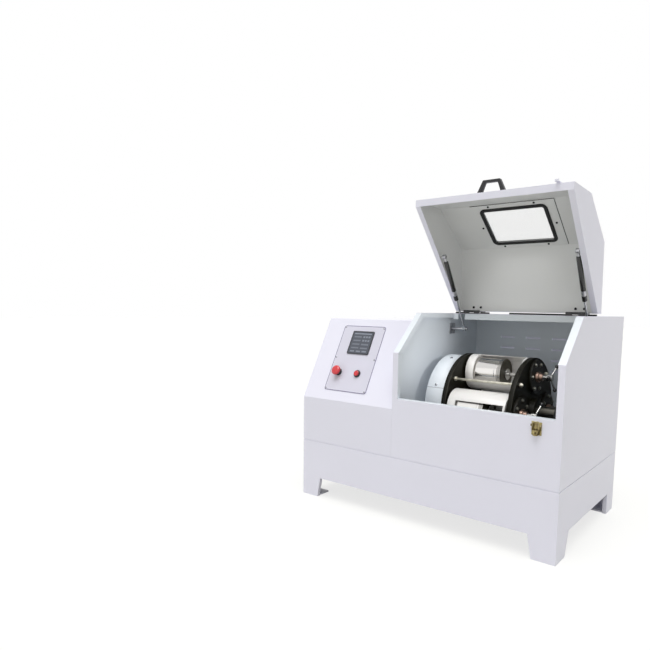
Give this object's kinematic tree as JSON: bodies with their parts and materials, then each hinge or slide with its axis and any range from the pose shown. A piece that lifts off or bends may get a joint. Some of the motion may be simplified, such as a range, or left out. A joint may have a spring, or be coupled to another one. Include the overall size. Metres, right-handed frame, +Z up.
{
  "type": "planetary ball mill",
  "caption": "Floor-standing ball mill with a horizontal planetary rotor of clamped jars, a gas-strutted lid with a window, and a sloped control panel.",
  "frame": {"origin": "on the floor, in the middle of the four anchor holes", "axes": "+Z up, -Y out of the front, +X to the right as seen from the front; the rotor's shaft lies along X"},
  "size_m": [1.122, 0.6832, 1.2214],
  "materials": {
    "white_paint": "semi-gloss powder coat",
    "plate_print": "satin",
    "screen": "gloss",
    "black_plastic": "satin",
    "red_plastic": "gloss",
    "black_paint": "semi-gloss",
    "zinc": "satin",
    "yellow_zinc": "satin",
    "steel": "machined",
    "polished_steel": "polished",
    "dark_steel": "satin",
    "rubber": "matte",
    "clear_pane": "clear",
    "motor_paint": "semi-gloss",
    "cast": "painted",
    "tube_paint": "satin"
  },
  "bodies": {
    "cabinet": {"base_plinth": "white_paint", "bed_plate": "steel", "chamber_shell": "white_paint", "control_housing": "white_paint", "rear_panel": "white_paint", "control_fascia": "plate_print", "touch_screen": "screen", "button_collars": "zinc", "cabinet_screws": "zinc", "latch_base": "yellow_zinc", "cabinet_hinge_leaves": "black_paint", "strut_brackets": "zinc", "gear_guard": "white_paint", "sun_gear": "steel", "bearing_pedestals": "cast", "motor": "motor_paint", "drive_belt": "rubber"},
    "lid": {"lid_shell": "white_paint", "window_frame": "white_paint", "window_gasket": "rubber", "window_pane": "clear_pane", "lid_screws": "black_paint", "lid_handle": "black_plastic", "lid_hinge_leaves": "black_paint"},
    "strut_rod_pair": {"strut_rods": "polished_steel"},
    "strut_tube_pair": {"strut_tubes": "black_paint"},
    "rotor": {"main_shaft": "steel", "carrier_discs": "black_paint", "tie_rods": "zinc", "planet_bearings": "black_paint", "driven_pulley": "cast"},
    "motor_rotor": {"motor_pulley": "cast"},
    "estop": {"estop_head": "red_plastic"},
    "start": {"start_button": "red_plastic"},
    "latch": {"latch_lever": "yellow_zinc"},
    "loop": {"latch_loop": "zinc"},
    "station_1": {"holder_1": "tube_paint", "planet_gear_1": "steel", "jar_1": "polished_steel", "jar_lid_1": "dark_steel"},
    "clamp_1": {"clamp_screw_1": "steel"},
    "handle_1": {"clamp_handle_1": "steel"},
    "station_2": {"holder_2": "tube_paint", "planet_gear_2": "steel", "jar_2": "polished_steel", "jar_lid_2": "dark_steel"},
    "clamp_2": {"clamp_screw_2": "steel"},
    "handle_2": {"clamp_handle_2": "steel"},
    "station_3": {"holder_3": "tube_paint", "planet_gear_3": "steel", "jar_3": "polished_steel", "jar_lid_3": "dark_steel"},
    "clamp_3": {"clamp_screw_3": "steel"},
    "handle_3": {"clamp_handle_3": "steel"},
    "station_4": {"holder_4": "tube_paint", "planet_gear_4": "steel", "jar_4": "polished_steel", "jar_lid_4": "dark_steel"},
    "clamp_4": {"clamp_screw_4": "steel"},
    "handle_4": {"clamp_handle_4": "steel"}
  },
  "joints": [
    {"name": "lid_hinge", "type": "hinge", "parent": "cabinet", "child": "lid", "pos_m": [0.225, 0.07, 0.779], "axis": [1, 0, 0], "range_deg": [0, 90]},
    {"name": "strut_swing", "type": "hinge", "parent": "cabinet", "child": "strut_rod_pair", "pos_m": [0.225, 0.098, 0.706], "axis": [1, 0, 0], "range_deg": [-0.01, 76.02]},
    {"name": "strut_slide", "type": "slide", "parent": "strut_rod_pair", "child": "strut_tube_pair", "axis": [0, -0.5436, 0.8393], "range_m": [-0.0853, 0.00001]},
    {"name": "rotor_spin", "type": "hinge", "parent": "cabinet", "child": "rotor", "pos_m": [0, 0, 0.413], "axis": [1, 0, 0], "continuous": true},
    {"name": "motor_spin", "type": "hinge", "parent": "cabinet", "child": "motor_rotor", "pos_m": [-0.3, 0.12, 0.258], "axis": [1, 0, 0], "continuous": true},
    {"name": "estop_push", "type": "slide", "parent": "cabinet", "child": "estop", "axis": [0, 0.8905, -0.4549], "range_m": [0, 0.004], "stiffness_N_per_m": 1200, "springref_m": -0.002},
    {"name": "start_push", "type": "slide", "parent": "cabinet", "child": "start", "axis": [0, 0.8905, -0.4549], "range_m": [0, 0.003], "stiffness_N_per_m": 800, "springref_m": -0.002},
    {"name": "latch_swing", "type": "hinge", "parent": "cabinet", "child": "latch", "pos_m": [0.46, -0.339, 0.434], "axis": [-1, 0, 0], "range_deg": [0, 100]},
    {"name": "loop_swing", "type": "hinge", "parent": "latch", "child": "loop", "pos_m": [0.46, -0.3365, 0.425], "axis": [-1, 0, 0], "range_deg": [-100, 0]},
    {"name": "station_1_spin", "type": "hinge", "parent": "rotor", "child": "station_1", "pos_m": [0, 0.0068, 0.54282], "axis": [1, 0, 0], "continuous": true},
    {"name": "clamp_1_slide", "type": "slide", "parent": "station_1", "child": "clamp_1", "axis": [1, 0, 0], "range_m": [0, 0.01501]},
    {"name": "handle_1_turn", "type": "hinge", "parent": "clamp_1", "child": "handle_1", "pos_m": [0.376, 0.0068, 0.54282], "axis": [1, 0, 0], "range_deg": [0, 1350]},
    {"name": "station_2_spin", "type": "hinge", "parent": "rotor", "child": "station_2", "pos_m": [0, -0.12982, 0.4198], "axis": [1, 0, 0], "continuous": true},
    {"name": "clamp_2_slide", "type": "slide", "parent": "station_2", "child": "clamp_2", "axis": [1, 0, 0], "range_m": [0, 0.01501]},
    {"name": "handle_2_turn", "type": "hinge", "parent": "clamp_2", "child": "handle_2", "pos_m": [0.376, -0.12982, 0.4198], "axis": [1, 0, 0], "range_deg": [0, 1350]},
    {"name": "station_3_spin", "type": "hinge", "parent": "rotor", "child": "station_3", "pos_m": [0, -0.0068, 0.28318], "axis": [1, 0, 0], "continuous": true},
    {"name": "clamp_3_slide", "type": "slide", "parent": "station_3", "child": "clamp_3", "axis": [1, 0, 0], "range_m": [0, 0.01501]},
    {"name": "handle_3_turn", "type": "hinge", "parent": "clamp_3", "child": "handle_3", "pos_m": [0.376, -0.0068, 0.28318], "axis": [1, 0, 0], "range_deg": [0, 1350]},
    {"name": "station_4_spin", "type": "hinge", "parent": "rotor", "child": "station_4", "pos_m": [0, 0.12982, 0.4062], "axis": [1, 0, 0], "continuous": true},
    {"name": "clamp_4_slide", "type": "slide", "parent": "station_4", "child": "clamp_4", "axis": [1, 0, 0], "range_m": [0, 0.01501]},
    {"name": "handle_4_turn", "type": "hinge", "parent": "clamp_4", "child": "handle_4", "pos_m": [0.376, 0.12982, 0.4062], "axis": [1, 0, 0], "range_deg": [0, 1350]}
  ],
  "couplings": [
    {"joint": "strut_swing", "follows": "lid_hinge", "ratio": 0.84459},
    {"joint": "strut_slide", "follows": "lid_hinge", "m_per_rad": -0.054289},
    {"joint": "motor_spin", "follows": "rotor_spin", "ratio": 2.0545},
    {"joint": "loop_swing", "follows": "latch_swing", "ratio": -1},
    {"joint": "station_1_spin", "follows": "rotor_spin", "ratio": 1.8889},
    {"joint": "clamp_1_slide", "follows": "handle_1_turn", "m_per_rad": 0.00063662},
    {"joint": "station_2_spin", "follows": "rotor_spin", "ratio": 1.8889},
    {"joint": "clamp_2_slide", "follows": "handle_2_turn", "m_per_rad": 0.00063662},
    {"joint": "station_3_spin", "follows": "rotor_spin", "ratio": 1.8889},
    {"joint": "clamp_3_slide", "follows": "handle_3_turn", "m_per_rad": 0.00063662},
    {"joint": "station_4_spin", "follows": "rotor_spin", "ratio": 1.8889},
    {"joint": "clamp_4_slide", "follows": "handle_4_turn", "m_per_rad": 0.00063662}
  ]
}
